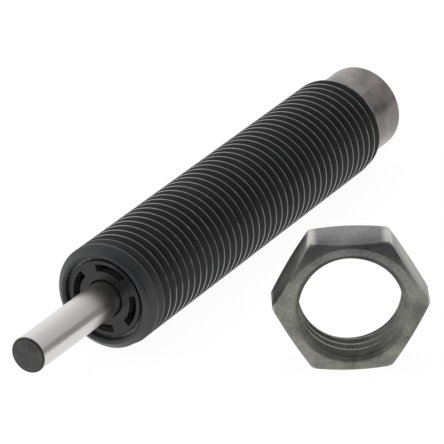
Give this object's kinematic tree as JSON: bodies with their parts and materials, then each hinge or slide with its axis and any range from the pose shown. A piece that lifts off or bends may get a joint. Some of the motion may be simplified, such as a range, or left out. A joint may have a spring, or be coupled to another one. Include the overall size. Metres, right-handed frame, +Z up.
{
  "type": "industrial shock absorber",
  "caption": "Slim threaded hydraulic shock absorber with a sprung steel rod, a slotted front cap, a plain rear end and a separate thin hexagon lock nut.",
  "frame": {"origin": "middle of the barrel's front face, on the barrel's axis; the thread rests on the floor at Z = -7 mm", "axes": "+X along the axis towards the rod's tip; +Y towards the lock nut, which stands beside the barrel; +Z up"},
  "size_m": [0.0858, 0.0454, 0.017],
  "materials": {
    "blackened_steel": "black oxide on turned steel",
    "black_acetal": "moulded and turned, black",
    "spring_steel": "drawn wire",
    "polished_steel": "ground and polished",
    "tube_steel": "turned and honed",
    "aluminium": "turned",
    "bronze": "sintered",
    "black_rubber": "moulded nitrile",
    "ring_polymer": "filled, turned",
    "phosphated_steel": "forged nut with a dark phosphate finish"
  },
  "bodies": {
    "barrel": {"threaded_body": "blackened_steel", "front_cap": "black_acetal", "retaining_ring": "spring_steel", "clamp_sleeve": "bronze", "rolling_diaphragm": "black_rubber", "spacer_sleeve": "aluminium", "main_bearing": "aluminium", "bearing_bush": "bronze", "pressure_tube": "tube_steel", "tube_base": "tube_steel", "base_o_ring": "black_rubber", "return_spring": "spring_steel", "fill_ball": "polished_steel", "fill_plug": "blackened_steel"},
    "rod": {"piston_rod": "polished_steel", "diaphragm_ring": "tube_steel", "piston_head": "tube_steel", "piston_ring": "ring_polymer", "spring_seat": "tube_steel", "piston_nut": "tube_steel"},
    "check": {"check_ring": "bronze"},
    "nut": {"lock_nut": "phosphated_steel"}
  },
  "joints": [
    {"name": "rod_stroke", "type": "slide", "parent": "barrel", "child": "rod", "axis": [-1, 0, 0], "range_m": [0, 0.0125], "stiffness_N_per_m": 400, "springref_m": -0.01, "deforming": ["return_spring", "rolling_diaphragm"]},
    {"name": "check_float", "type": "slide", "parent": "rod", "child": "check", "axis": [-1, 0, 0], "range_m": [0, 0.0004]},
    {"name": "lock_nut_lift", "type": "slide", "parent": "barrel", "child": "nut", "axis": [0, 0, 1], "range_m": [0, 0.025]}
  ]
}
